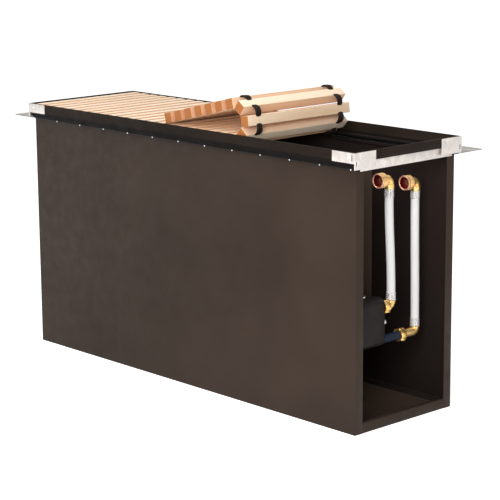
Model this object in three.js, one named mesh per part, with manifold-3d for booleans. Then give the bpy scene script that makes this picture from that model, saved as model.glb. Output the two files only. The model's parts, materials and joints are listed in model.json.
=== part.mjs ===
// Trench convector heater: a tall sheet-steel casing for a floor trench, open at its service end,
// with a finned heat exchanger on one side of an air guide, two flexible risers with union nuts,
// a metal grille frame with corner brackets, and a roll-up wooden grille that is partly folded back.
// Millimetres. +X runs along the casing towards the open service end, +Y from the near long side
// to the far long side, +Z up. The origin is the centre of the casing's underside.
import * as THREE from 'three';
import { mergeVertices } from 'three/addons/utils/BufferGeometryUtils.js';
import Module from 'manifold-3d';

const wasm = await Module();
wasm.setup();

// ---------- Driving dimensions ----------
const fitGap = 0.3; // between two pieces that touch

// Casing
const casingLength = 900;
const casingWidth = 250;
const casingHeight = 465;
const sheet = 1.5;
const lipWidth = 19; // folded lips beside the service opening
const sillHeight = 18; // folded sill under the service opening
const foldDepth = 9; // returns that stiffen the top edges and the sill
const foldDrop = 0.5; // returns of the long sides, below their top edge
const panEdge = 12; // upturned edges of the floor pan

// Galvanised flanges on the casing's top edge
const flangeWidth = 70;
const flangeThickness = 2;
const flangeLap = 8; // how far a flange lies over the inside of the casing
const nearFlangeProud = 3;
const endBarHeight = 17;
const endBarDrop = 2; // how far the bar hangs below the casing's top edge
const endBarThickness = 1.7;

// Grille frame
const sideOverhang = 10;
const endOverhang = 5;
const railLegHeight = 17;
const railThickness = 2.8;
const railStep = 2.4; // how far the lower leg stands back from the outer face
const railProud = 1; // frame edge above the slats
const neckHeight = 4.5;
const neckOverlap = 0.4; // neck outside the casing wall's plane
const ledgeThickness = 2;
const ledgeWidth = 15;

// Corner brackets and fasteners
const bracketThickness = 1.5;
const bracketLong = 51;
const bracketShort = 51;
const bracketHeight = 18;
const bracketTopInset = 0.5;
const screwRadius = 3.2;
const screwHead = 1.6;
const screwInset = 14; // screw centre from the frame's end

// Roll-up grille
const slatWidth = 19;
const slatHeight = 20;
const slatPitch = 29;
const slatEdge = 1.5;
const slatEndGap = 0.7;
const grilleEndGap = 1; // last slat to the service end rail when unrolled
const curlSlats = 3;
const rampSlats = 7;
const stripThickness = 1.3;
const cordInset = 26; // rubber spacers, from the slats' ends
const spacerWidth = 14;

// Heat exchanger
const finDepth = 100;
const finHeight = 75;
const finThickness = 1;
const finPitch = 24;
const finBottom = 140;
const finWallGap = 20; // fins to the casing wall's outer face
const tubeRadius = 11;
const finCollar = 1.5; // wall of the collars that space the fins on the tubes
const tubeSpacing = 40;
const closedEndRoom = 65.5; // casing end to the first fin, for the return bend
const serviceRoom = 90.5; // last fin to the casing end, for the collector and the risers
const bendLead = 6; // straight ends of the return bend
const tubeOverhang = 14; // tube beyond the first and last fins
const guideThickness = 1.2;
const guideGap = 1.5;
const guideTop = 440;
const guideSetback = 10; // air guide from the casing's closed end
const bracketStrip = 25;
const bracketSetback = 57; // bracket from the first and from the last fin
const tabHeight = 34;

// Collector at the service end
const collectorLength = 34;
const collectorHeight = 88;
const collectorDrop = 10; // below the fins
const collectorRound = 12;
const collectorInset = 1; // the collector's far face inside the fins' far edge
const ventRadius = 5.5;
const ventLength = 7.5;
const ventAlong = 26; // vent from the collector's inner end, between the ports
const ventHeight = 42; // vent above the collector's bottom
const ventScrewRadius = 2.8;
const ventScrewLength = 2.6;
const ventSlot = 1; // width and depth of the screw's slot
const portAlong = 26; // riser ports from the collector's inner end

// Risers: the flow riser starts at the collector's upper port, the return riser at its lower port.
const flowPort = 70; // above the collector's bottom
const returnPort = 11;
const flowReach = 23.7; // riser axis from the ports' face
const returnReach = 87.7;
const flowLean = -7; // union elbow's axis from the lower elbow's axis
const returnLean = -3;
const flowTopRoom = 37; // union elbow's axis below the casing's top edge
const returnTopRoom = 49;
const stubLength = 46;
const nutLap = 4; // lower nut's hold on the stub
const elbowRadius = 8;
const footRise = 9.5; // lower elbow's arm above its axis
const ferruleRadius = 8.6;
const ferruleLength = 14;
const headDrop = 16.5; // upper elbow's arm below its axis
const hoseRadius = 7.7;
const stubRadius = 7.4;
const hexRadius = 13;
const hexLength = 13;
const nutReach = 30; // union mouth from the riser's axis
const nutRadius = 13.5;
const nutBore = 10.6;
const nutLength = 15;
const nutBack = 3;
const collarThickness = 2.1;
const washerThickness = 1.7;
const washerHole = 5.5;

// ---------- Derived levels and edges ----------
const halfLength = casingLength / 2;
const halfWidth = casingWidth / 2;
const flangeBottom = casingHeight + fitGap;
const flangeTop = flangeBottom + flangeThickness;
const neckBottom = flangeTop + fitGap;
const ledgeBottom = neckBottom + neckHeight;
const ledgeTop = ledgeBottom + ledgeThickness;
const stripBottom = ledgeTop + fitGap;
const stripTop = stripBottom + stripThickness;
const slatBottom = stripTop + fitGap;
const slatTop = slatBottom + slatHeight;
const slatLevel = slatBottom + slatHeight / 2;
const railTop = slatTop + railProud;
const railLegBottom = railTop - railLegHeight;
const frameSide = halfWidth + sideOverhang;
const frameEnd = halfLength + endOverhang;
const lowerLegOuter = frameSide - railStep;
const lowerLegInner = lowerLegOuter - railStep;
const slatLength = 2 * (lowerLegInner - slatEndGap);
const ledgeInner = lowerLegOuter - ledgeWidth;
const endWallOuter = halfLength - fitGap;
const endWallInner = endWallOuter - ledgeThickness;
const endBarBottom = casingHeight - endBarDrop;
const endBarTop = endBarBottom + endBarHeight;
const barFace = halfLength + fitGap + endBarThickness;
const barSide = Math.min(halfWidth - flangeLap, ledgeInner) - fitGap;
const cordY = slatLength / 2 - cordInset;
const slatGap = slatPitch - slatWidth;
const spacerRadius = slatGap / 2 - fitGap;

const finNear = -halfWidth + finWallGap;
const finFar = finNear + finDepth;
const finTop = finBottom + finHeight;
const firstFin = -halfLength + closedEndRoom;
const finCount = Math.floor((casingLength - closedEndRoom - serviceRoom) / finPitch) + 1;
const lastFin = firstFin + (finCount - 1) * finPitch;
const tubeY = (finNear + finFar) / 2;
const tubeLow = finBottom + (finHeight - tubeSpacing) / 2;
const tubeHigh = tubeLow + tubeSpacing;
const tubeStart = firstFin - tubeOverhang;
const tubeEnd = lastFin + tubeOverhang;
const collectorStart = tubeEnd + fitGap;
const collectorFar = finFar - collectorInset;
const collectorBottom = finBottom - collectorDrop;
const collectorTop = collectorBottom + collectorHeight;
const portX = collectorStart + portAlong;
const guideNear = finFar + guideGap;
const guideFar = guideNear + guideThickness;
const stripLevel = finBottom - fitGap;
const portFace = collectorFar + fitGap;
const riserA = {
  port: collectorBottom + flowPort, foot: portFace + flowReach,
  head: portFace + flowReach + flowLean, top: casingHeight - flowTopRoom,
};
const riserB = {
  port: collectorBottom + returnPort, foot: portFace + returnReach,
  head: portFace + returnReach + returnLean, top: casingHeight - returnTopRoom,
};

const finish = {
  casing: { color: 0x43372f, roughness: 0.5, metalness: 0.35 },
  galvanised: { color: 0xc9cbca, roughness: 0.42, metalness: 0.85 },
  rail: { color: 0x5a4a40, roughness: 0.45, metalness: 0.5 },
  wood: { color: 0xd9b98c, roughness: 0.6, metalness: 0 },
  rubber: { color: 0x17130f, roughness: 0.8, metalness: 0 },
  fin: { color: 0xb9bcbd, roughness: 0.4, metalness: 0.9 },
  copper: { color: 0xb4693f, roughness: 0.35, metalness: 0.9 },
  collector: { color: 0x4d4b49, roughness: 0.55, metalness: 0.2 },
  chrome: { color: 0xd8dadc, roughness: 0.15, metalness: 1 },
  brass: { color: 0xc9a45c, roughness: 0.3, metalness: 0.9 },
  hose: { color: 0xeeeeec, roughness: 0.45, metalness: 0 },
  ferrule: { color: 0xc4c4c2, roughness: 0.3, metalness: 0.9 },
  washer: { color: 0x7a1f16, roughness: 0.7, metalness: 0 },
  stub: { color: 0x2f3640, roughness: 0.6, metalness: 0.1 },
};

// ---------- Shape helpers ----------
function box(x0, x1, y0, y1, z0, z1) {
  const geometry = new THREE.BoxGeometry(x1 - x0, y1 - y0, z1 - z0);
  return geometry.translate((x0 + x1) / 2, (y0 + y1) / 2, (z0 + z1) / 2);
}

function bare(geometry) {
  const copy = geometry.clone();
  copy.deleteAttribute('normal');
  copy.deleteAttribute('uv');
  return mergeVertices(copy, 1e-4);
}

function toSolid(geometry) {
  const plain = bare(geometry);
  return new wasm.Manifold(new wasm.Mesh({
    numProp: 3,
    vertProperties: new Float32Array(plain.attributes.position.array),
    triVerts: new Uint32Array(plain.index.array),
  }));
}

function fromSolid(solid) {
  const mesh = solid.getMesh();
  const geometry = new THREE.BufferGeometry();
  geometry.setAttribute('position', new THREE.BufferAttribute(mesh.vertProperties, 3));
  geometry.setIndex(new THREE.BufferAttribute(mesh.triVerts, 1));
  return geometry;
}

function join(...pieces) {
  return fromSolid(pieces.map(toSolid).reduce((a, b) => a.add(b)));
}

function cut(piece, ...tools) {
  return fromSolid(tools.map(toSolid).reduce((a, b) => a.subtract(b), toSolid(piece)));
}

// A straight sheet-metal section: a closed outline drawn across an axis and drawn out along it.
// The outline holds [y, z] points for X, [x, z] points for Y and [x, y] points for Z.
function section(axis, outline, start, end) {
  const shape = new THREE.Shape(outline.map(([u, v]) => new THREE.Vector2(u, v)));
  const geometry = new THREE.ExtrudeGeometry(shape, { depth: end - start, bevelEnabled: false });
  if (axis === 'z') return geometry.translate(0, 0, start);
  geometry.rotateX(Math.PI / 2);
  if (axis === 'y') return geometry.translate(0, end, 0);
  return geometry.rotateZ(Math.PI / 2).translate(start, 0, 0);
}

const turnTo = {
  x: (geometry) => geometry.rotateZ(-Math.PI / 2),
  y: (geometry) => geometry,
  z: (geometry) => geometry.rotateX(Math.PI / 2),
};

// A round bar along an axis, from its lower end to its upper end, centred on the other two places.
function rod(axis, start, end, centre, radius, sides = 12) {
  const geometry = turnTo[axis](new THREE.CylinderGeometry(radius, radius, end - start, sides));
  return place(geometry, axis, (start + end) / 2, centre);
}

function place(geometry, axis, along, centre) {
  if (axis === 'x') return geometry.translate(along, centre[0], centre[1]);
  if (axis === 'y') return geometry.translate(centre[0], along, centre[1]);
  return geometry.translate(centre[0], centre[1], along);
}

// A ring along Y between two places, with its own outer and inner radius.
function ring(y0, y1, centre, outer, inner, sides = 12) {
  const profile = [[inner, y0], [outer, y0], [outer, y1], [inner, y1], [inner, y0]];
  const points = profile.map(([r, y]) => new THREE.Vector2(r, y));
  return new THREE.LatheGeometry(points, sides).translate(centre[0], 0, centre[1]);
}

function chamferedSlat() {
  const w = slatWidth / 2;
  const h = slatHeight / 2;
  const e = slatEdge;
  return section('y', [
    [-w, -h + e], [-w + e, -h], [w - e, -h], [w, -h + e],
    [w, h - e], [w - e, h], [-w + e, h], [-w, h - e],
  ], -slatLength / 2, slatLength / 2);
}

// ---------- The finished group ----------
const heater = new THREE.Group();

function node(name, geometry, look, parent = heater) {
  const mesh = new THREE.Mesh(geometry, new THREE.MeshStandardMaterial(look));
  mesh.name = name;
  parent.add(mesh);
  return mesh;
}

// ---------- Casing ----------
// One long side: wall, service lip folded in at the open end, and a return along the top edge.
function longSide(side) {
  const outer = side * halfWidth;
  const inner = side * (halfWidth - sheet);
  const lip = side * (halfWidth - lipWidth);
  const middle = side * (halfWidth - sheet / 2);
  const fold = side * (halfWidth - foldDepth);
  const wall = section('z', [
    [-halfLength, outer], [halfLength, outer], [halfLength, lip], [halfLength - sheet, lip],
    [halfLength - sheet, inner], [-halfLength, inner],
  ], 0, casingHeight);
  return join(wall, box(
    -halfLength + foldDepth, halfLength - sheet / 2, Math.min(middle, fold),
    Math.max(middle, fold), casingHeight - foldDrop - sheet, casingHeight - foldDrop,
  ));
}

// Floor pan: flat sheet with three upturned edges and the folded sill across the service opening.
function floorPan() {
  const side = halfWidth - sheet - fitGap;
  const end = halfLength - sheet - fitGap;
  const sillSide = halfWidth - lipWidth - fitGap;
  const tray = section('x', [
    [-side, 0], [side, 0], [side, panEdge], [side - sheet, panEdge], [side - sheet, sheet],
    [-side + sheet, sheet], [-side + sheet, panEdge], [-side, panEdge],
  ], -end, end);
  const closing = box(
    -end + fitGap, -end + fitGap + sheet, -side + sheet / 2, side - sheet / 2,
    sheet / 2, panEdge - fitGap,
  );
  const sill = section('y', [
    [end - foldDepth, sheet / 4], [halfLength, sheet / 4], [halfLength, sillHeight],
    [halfLength - foldDepth, sillHeight], [halfLength - foldDepth, sillHeight - sheet],
    [halfLength - sheet, sillHeight - sheet], [halfLength - sheet, sheet * 0.75],
    [end - foldDepth, sheet * 0.75],
  ], -sillSide, sillSide);
  return join(tray, closing, sill);
}

function closedEnd() {
  const side = halfWidth - sheet - fitGap;
  const foot = sheet + fitGap;
  const fold = -halfLength + foldDepth - fitGap;
  return section('y', [
    [-halfLength, foot], [-halfLength + sheet, foot], [-halfLength + sheet, casingHeight - sheet],
    [fold, casingHeight - sheet], [fold, casingHeight], [-halfLength, casingHeight],
  ], -side, side);
}

node('near_wall', longSide(-1), finish.casing);
node('far_wall', longSide(1), finish.casing);
node('floor_pan', floorPan(), finish.casing);
node('closed_end_panel', closedEnd(), finish.casing);

// ---------- Galvanised flanges ----------
const lapInner = halfWidth - flangeLap;
node('near_flange', box(
  -halfLength, halfLength, -halfWidth - nearFlangeProud, -lapInner, flangeBottom, flangeTop,
), finish.galvanised);
node('far_flange', box(
  -halfLength - flangeWidth, frameEnd, lapInner, halfWidth + flangeWidth, flangeBottom, flangeTop,
), finish.galvanised);
node('closed_end_flange', section('z', [
  [-halfLength - flangeWidth, -halfWidth], [-halfLength - fitGap, -halfWidth],
  [-halfLength - fitGap, -lapInner + fitGap], [-halfLength + flangeLap, -lapInner + fitGap],
  [-halfLength + flangeLap, lapInner - fitGap], [-halfLength - flangeWidth, lapInner - fitGap],
], flangeBottom, flangeTop), finish.galvanised);
node('service_end_bar', section('y', [
  [halfLength - foldDepth, flangeBottom], [halfLength + fitGap, flangeBottom],
  [halfLength + fitGap, endBarBottom], [barFace, endBarBottom], [barFace, endBarTop],
  [halfLength + fitGap, endBarTop], [halfLength + fitGap, flangeTop],
  [halfLength - foldDepth, flangeTop],
], -barSide, barSide), finish.galvanised);

// ---------- Grille frame ----------
// A length along X whose outline is drawn for the far side and turned round for the near side.
function sideLength(side, outline) {
  const length = section('x', outline, -frameEnd, frameEnd);
  return side > 0 ? length : length.rotateZ(Math.PI);
}

// A side rail: outer leg, and a lower leg set back from it that stands on the ledge.
function sideRail(side) {
  const foot = ledgeTop + fitGap;
  return sideLength(side, [
    [frameSide, railTop], [frameSide - railThickness, railTop],
    [frameSide - railThickness, railLegBottom + railStep],
    [lowerLegInner, railLegBottom + railStep], [lowerLegInner, foot], [lowerLegOuter, foot],
    [lowerLegOuter, railLegBottom], [frameSide, railLegBottom],
  ]);
}

// The ledge that carries the slats' ends, with a neck that stands on the flange below.
function sideLedge(side) {
  const neck = halfWidth + neckOverlap;
  return sideLength(side, [
    [lowerLegOuter, ledgeTop], [ledgeInner, ledgeTop], [ledgeInner, ledgeBottom],
    [neck, ledgeBottom], [neck, neckBottom], [neck + railStep, neckBottom],
    [neck + railStep, ledgeBottom], [lowerLegOuter, ledgeBottom],
  ]);
}

// An end rail: outer leg, web, and an inner wall between the ledges that stands on the flange.
function endRail(end) {
  const webBottom = railLegBottom + fitGap;
  const webTop = webBottom + railStep;
  const side = lowerLegInner - fitGap;
  const wallSide = ledgeInner - fitGap;
  const rail = section('y', [
    [frameEnd, webBottom], [frameEnd, railTop], [frameEnd - railThickness, railTop],
    [frameEnd - railThickness, webTop], [endWallInner, webTop], [endWallInner, neckBottom],
    [endWallOuter, neckBottom], [endWallOuter, webBottom],
  ], -side, side);
  const clear = [endWallInner - 1, endWallOuter + 1];
  const low = [neckBottom - 1, ledgeTop + fitGap];
  const cutRail = cut(
    rail, box(...clear, wallSide, side + 1, ...low), box(...clear, -side - 1, -wallSide, ...low),
  );
  return end > 0 ? cutRail : cutRail.rotateZ(Math.PI);
}

node('near_rail', sideRail(-1), finish.rail);
node('far_rail', sideRail(1), finish.rail);
node('near_ledge', sideLedge(-1), finish.rail);
node('far_ledge', sideLedge(1), finish.rail);
node('closed_end_rail', endRail(-1), finish.rail);
node('service_end_rail', endRail(1), finish.rail);

function ledgeStrip(side) {
  const inner = side * (ledgeInner + 1);
  const outer = side * (lowerLegInner - fitGap);
  const length = endWallInner - 2;
  return box(
    -length, length, Math.min(inner, outer), Math.max(inner, outer), stripBottom, stripTop,
  );
}
node('near_rubber_strip', ledgeStrip(-1), finish.rubber);
node('far_rubber_strip', ledgeStrip(1), finish.rubber);

// ---------- Corner brackets and their screws ----------
function cornerBracket(end, side) {
  const x = (v) => end * v;
  const y = (v) => side * v;
  const inner = { x: frameEnd + fitGap, y: frameSide + fitGap };
  const outer = { x: inner.x + bracketThickness, y: inner.y + bracketThickness };
  const top = railTop - bracketTopInset;
  const corner = section('z', [
    [x(frameEnd - bracketLong), y(inner.y)], [x(inner.x), y(inner.y)],
    [x(inner.x), y(frameSide - bracketShort)], [x(outer.x), y(frameSide - bracketShort)],
    [x(outer.x), y(outer.y)], [x(frameEnd - bracketLong), y(outer.y)],
  ], neckBottom, top);
  const middle = inner.x + bracketThickness / 2;
  const [x0, x1] = [x(frameEnd - bracketLong - 1), x(middle)].sort((a, b) => a - b);
  const [y0, y1] = [y(frameSide), y(outer.y + 1)].sort((a, b) => a - b);
  return cut(corner, box(x0, x1, y0, y1, neckBottom - 1, top - bracketHeight));
}

function bracketScrew(end, side) {
  const face = frameSide + 2 * fitGap + bracketThickness;
  const [y0, y1] = [side * face, side * (face + screwHead)].sort((a, b) => a - b);
  const level = railTop - railLegHeight / 2;
  return rod('y', y0, y1, [end * (frameEnd - screwInset), level], screwRadius, 10);
}

const corners = [
  ['near_closed', -1, -1], ['far_closed', -1, 1], ['near_service', 1, -1], ['far_service', 1, 1],
];
for (const [name, end, side] of corners) {
  node(`${name}_corner_bracket`, cornerBracket(end, side), finish.galvanised);
  node(`${name}_corner_screw`, bracketScrew(end, side), finish.chrome);
}

// ---------- Heat exchanger ----------
// Fins pressed on both tubes, with collars between them that keep the pitch.
function finPack() {
  const pieces = [];
  for (let k = 0; k < finCount; k += 1) {
    const x = firstFin + k * finPitch - finThickness / 2;
    pieces.push(box(x, x + finThickness, finNear, finFar, finBottom, finTop));
  }
  const collar = tubeRadius + fitGap + finCollar;
  const bore = tubeRadius + fitGap;
  const passes = [];
  for (const level of [tubeLow, tubeHigh]) {
    pieces.push(rod('x', firstFin, lastFin, [tubeY, level], collar, 8));
    passes.push(rod('x', firstFin - 5, lastFin + 5, [tubeY, level], bore, 12));
  }
  return cut(join(...pieces), ...passes);
}

function tube(level) {
  return rod('x', tubeStart, tubeEnd, [tubeY, level], tubeRadius);
}

// Half-circle bend that joins both tubes at the closed end.
function returnBend() {
  const radius = tubeSpacing / 2;
  const x = tubeStart - fitGap;
  const bendX = x - bendLead;
  const middle = (tubeLow + tubeHigh) / 2;
  const points = [new THREE.Vector3(x, tubeY, tubeHigh)];
  const steps = 8;
  for (let k = 0; k <= steps; k += 1) {
    const a = (Math.PI * k) / steps;
    points.push(new THREE.Vector3(
      bendX - radius * Math.sin(a), tubeY, middle + radius * Math.cos(a),
    ));
  }
  points.push(new THREE.Vector3(x, tubeY, tubeLow));
  return sweep(points, tubeRadius, 10);
}

// A round tube through a list of points, closed by flat ends that stand square to its first and
// last directions. The points lie in one upright plane.
function sweep(points, radius, sides) {
  const curve = new THREE.CurvePath();
  for (let k = 1; k < points.length; k += 1) {
    curve.add(new THREE.LineCurve3(points[k - 1], points[k]));
  }
  const section = new THREE.Shape();
  for (let k = 0; k < sides; k += 1) {
    const a = (2 * Math.PI * k) / sides;
    const point = [radius * Math.cos(a), radius * Math.sin(a)];
    if (k === 0) section.moveTo(...point);
    else section.lineTo(...point);
  }
  section.closePath();
  return new THREE.ExtrudeGeometry(section, {
    steps: 12, extrudePath: curve, bevelEnabled: false,
  });
}

function collector() {
  const x0 = collectorStart;
  const x1 = collectorStart + collectorLength;
  const r = collectorRound;
  const outline = new THREE.Shape();
  outline.moveTo(x0 + r, collectorBottom);
  outline.absarc(x1 - r, collectorBottom + r, r, -Math.PI / 2, 0, false);
  outline.absarc(x1 - r, collectorTop - r, r, 0, Math.PI / 2, false);
  outline.absarc(x0 + r, collectorTop - r, r, Math.PI / 2, Math.PI, false);
  outline.absarc(x0 + r, collectorBottom + r, r, Math.PI, 1.5 * Math.PI, false);
  const body = new THREE.ExtrudeGeometry(outline, {
    depth: collectorFar - finNear, bevelEnabled: false, curveSegments: 4,
  });
  return body.rotateX(Math.PI / 2).translate(0, collectorFar, 0);
}

// A strip under the fins, turned up against the near wall and behind the air guide.
function exchangerBracket(x) {
  const wall = -halfWidth + sheet + fitGap;
  const back = guideFar + fitGap;
  const low = stripLevel - sheet;
  const high = low + tabHeight;
  return section('x', [
    [wall, low], [back + sheet, low], [back + sheet, high], [back, high], [back, stripLevel],
    [wall + sheet, stripLevel], [wall + sheet, high], [wall, high],
  ], x - bracketStrip / 2, x + bracketStrip / 2);
}

node('fin_pack', finPack(), finish.fin);
node('upper_exchanger_tube', tube(tubeHigh), finish.copper);
node('lower_exchanger_tube', tube(tubeLow), finish.copper);
node('return_bend', returnBend(), finish.copper);
node('collector', collector(), finish.collector);
node('air_guide', box(
  -halfLength + guideSetback, lastFin + finPitch / 2, guideNear, guideFar, finBottom, guideTop,
), finish.casing);
[firstFin + bracketSetback, lastFin - bracketSetback].forEach((x, k) => {
  node(`exchanger_bracket_${k + 1}`, exchangerBracket(x), finish.galvanised);
});
// Air vent on the collector's far face, with its turning screw.
const ventX = collectorStart + ventAlong;
const ventZ = collectorBottom + ventHeight;
const ventFace = collectorFar + fitGap + ventLength;
const screwFace = ventFace + fitGap + ventScrewLength;
node('vent_body', rod('y', collectorFar + fitGap, ventFace, [ventX, ventZ], ventRadius), finish.chrome);
node('vent_screw', cut(
  rod('y', ventFace + fitGap, screwFace, [ventX, ventZ], ventScrewRadius, 10),
  box(
    ventX - ventSlot / 2, ventX + ventSlot / 2, screwFace - ventSlot, screwFace + ventSlot,
    ventZ - ventRadius, ventZ + ventRadius,
  ),
), finish.chrome);

// ---------- Risers ----------
// Two arms at right angles: one along Y to its far or near end, one along Z, with a round corner.
function elbow(y, z, armY, armZ, tailRadius) {
  const [y0, y1] = [Math.min(y, armY), Math.max(y, armY)];
  const [z0, z1] = [Math.min(z, armZ), Math.max(z, armZ)];
  return join(
    rod('y', y0, y1, [portX, z], tailRadius),
    rod('z', z0, z1, [portX, y], elbowRadius),
    new THREE.SphereGeometry(elbowRadius * 1.06, 12, 8).translate(portX, y, z),
  );
}

function hexNut(y0, z, bore) {
  const y1 = y0 + hexLength;
  return cut(
    rod('y', y0, y1, [portX, z], hexRadius, 6),
    rod('y', y0 - 1, y1 + 1, [portX, z], bore),
  );
}

// A hose bends sideways by a few millimetres between its two upright ends.
function hose(riser) {
  const low = riser.port + footRise + ferruleLength + 2 * fitGap;
  const high = riser.top - headDrop - ferruleLength - 2 * fitGap;
  const points = [];
  const steps = 8;
  for (let k = 0; k <= steps; k += 1) {
    const t = k / steps;
    const ease = t * t * (3 - 2 * t);
    const y = riser.foot + (riser.head - riser.foot) * ease;
    points.push(new THREE.Vector3(portX, y, low + (high - low) * t));
  }
  return sweep(points, hoseRadius, 12);
}

function lowerFerrule(riser) {
  const low = riser.port + footRise + fitGap;
  return rod('z', low, low + ferruleLength, [portX, riser.foot], ferruleRadius);
}

function upperFerrule(riser) {
  const high = riser.top - headDrop - fitGap;
  return rod('z', high - ferruleLength, high, [portX, riser.head], ferruleRadius);
}

// Upper elbow: a tail that carries the swivelling nut, with the collar that holds the nut on.
function upperElbow(riser) {
  const mouth = riser.head - nutReach;
  const collarBack = mouth + nutLength - nutBack - fitGap;
  const collarFront = collarBack - collarThickness;
  return join(
    elbow(riser.head, riser.top, collarFront + 1, riser.top - headDrop, elbowRadius - 0.6),
    rod('y', collarFront, collarBack, [portX, riser.top], nutBore - 0.5),
  );
}

function unionNut(riser) {
  const mouth = riser.head - nutReach;
  const back = mouth + nutLength;
  const profile = [
    [nutBore, mouth], [nutRadius, mouth], [nutRadius, back], [elbowRadius - 0.2, back],
    [elbowRadius - 0.2, back - nutBack], [nutBore, back - nutBack], [nutBore, mouth],
  ];
  const points = profile.map(([r, y]) => new THREE.Vector2(r, y));
  return new THREE.LatheGeometry(points, 16).translate(portX, 0, riser.top);
}

function washer(riser) {
  const seat = riser.head - nutReach + nutLength - nutBack - collarThickness - 2 * fitGap;
  return ring(
    seat - washerThickness, seat, [portX, riser.top], nutBore - 0.5, washerHole,
  );
}

const stubEnd = portFace + stubLength;
node('upper_port_nut', hexNut(portFace, riserA.port, elbowRadius + fitGap), finish.brass);
node('upper_port_elbow', elbow(
  riserA.foot, riserA.port, portFace, riserA.port + footRise, elbowRadius,
), finish.brass);
node('return_stub', rod('y', portFace, stubEnd, [portX, riserB.port], stubRadius), finish.stub);
node('lower_port_nut', hexNut(stubEnd - nutLap, riserB.port, elbowRadius + fitGap), finish.brass);
node('lower_port_elbow', elbow(
  riserB.foot, riserB.port, stubEnd + fitGap, riserB.port + footRise, elbowRadius,
), finish.brass);

const risers = [['flow', riserA], ['return', riserB]];
for (const [name, riser] of risers) {
  node(`${name}_hose`, hose(riser), finish.hose);
  node(`${name}_lower_ferrule`, lowerFerrule(riser), finish.ferrule);
  node(`${name}_upper_ferrule`, upperFerrule(riser), finish.ferrule);
  node(`${name}_union_elbow`, upperElbow(riser), finish.brass);
  node(`${name}_union_nut`, unionNut(riser), finish.brass);
  node(`${name}_union_washer`, washer(riser), finish.washer);
}

// ---------- Roll-up grille ----------
// The grille's middle line is a chain of slatPitch-long links that meet at hinge points halfway
// between the slats. The curl turns by the same angle at each hinge, and the folded-back ramp then
// falls just steeply enough for its last slat to rest on the flat slats.
const turns = curlSlats + 1;

function rampHeightError(slope) {
  const turn = (Math.PI + slope) / turns;
  let height = 0;
  for (let k = 1; k <= curlSlats; k += 1) height += slatPitch * Math.sin(k * turn);
  const drop = (rampSlats - 0.5) * slatPitch * Math.sin(slope);
  const corner = (slatHeight / 2) * Math.cos(slope) + (slatWidth / 2 - slatEdge) * Math.sin(slope);
  return height - drop - slatHeight / 2 - fitGap - corner;
}

function restingSlope() {
  let low = 0;
  let high = Math.PI / 4;
  for (let k = 0; k < 50; k += 1) {
    const middle = (low + high) / 2;
    if (rampHeightError(middle) > 0) low = middle;
    else high = middle;
  }
  return low;
}

const rampSlope = restingSlope();
const hingeTurn = (Math.PI + rampSlope) / turns;
const grilleEnd = endWallInner - grilleEndGap + slatGap / 2;
const slatCount = Math.floor((grilleEnd + endWallInner - grilleEndGap + slatGap / 2) / slatPitch);
const flatSlats = slatCount - curlSlats - rampSlats;
const grilleStart = grilleEnd - slatCount * slatPitch;

// A rubber spacer lies across the gap, round about the hinge line, so it clears turning slats.
function hingeSpacer(y) {
  return rod('y', y - spacerWidth / 2, y + spacerWidth / 2, [0, 0], spacerRadius);
}

// A run of slats threaded on both rubber-sleeved cords, from x = 0 on, with a spacer at the hinge
// where the run ends or starts.
function slatRun(count, hingeX) {
  const pieces = [];
  for (let k = 0; k < count; k += 1) {
    pieces.push(chamferedSlat().translate((k + 0.5) * slatPitch, 0, 0));
  }
  const first = Math.min(slatPitch / 2, hingeX);
  const last = Math.max((count - 0.5) * slatPitch, hingeX);
  for (const y of [-cordY, cordY]) {
    pieces.push(rod('x', first, last, [y, 0], spacerRadius - fitGap, 8));
    pieces.push(hingeSpacer(y).translate(hingeX, 0, 0));
  }
  return join(...pieces);
}

const flatLength = flatSlats * slatPitch;
const flatRun = node('flat_slats', slatRun(flatSlats, flatLength), finish.wood);
flatRun.position.set(grilleStart, 0, slatLevel);

// Walk along the chain: each hinge turns the next link, and the pieces hang on that link's place.
const hinge = new THREE.Vector2(grilleStart + flatLength, slatLevel);
const slatNames = ['first_curl_slat', 'second_curl_slat', 'third_curl_slat'];
for (let k = 1; k <= turns; k += 1) {
  const heading = k * hingeTurn;
  const link = new THREE.Group();
  link.position.set(hinge.x, 0, hinge.y);
  link.rotation.y = -heading;
  heater.add(link);
  if (k < turns) {
    const slat = chamferedSlat().translate(slatPitch / 2, 0, 0);
    node(slatNames[k - 1], slat, finish.wood, link);
  } else {
    node('ramp_slats', slatRun(rampSlats, 0), finish.wood, link);
  }
  if (k > 1 && k < turns) {
    node(`near_spacer_${k}`, hingeSpacer(-cordY), finish.rubber, link);
    node(`far_spacer_${k}`, hingeSpacer(cordY), finish.rubber, link);
  }
  hinge.x += slatPitch * Math.cos(heading);
  hinge.y += slatPitch * Math.sin(heading);
}

export default heater;
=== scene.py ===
"""Looks of the trench convector heater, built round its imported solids, in metres."""
import json
import math
import random

import bmesh
import bpy
from mathutils import Matrix, Vector


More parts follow.
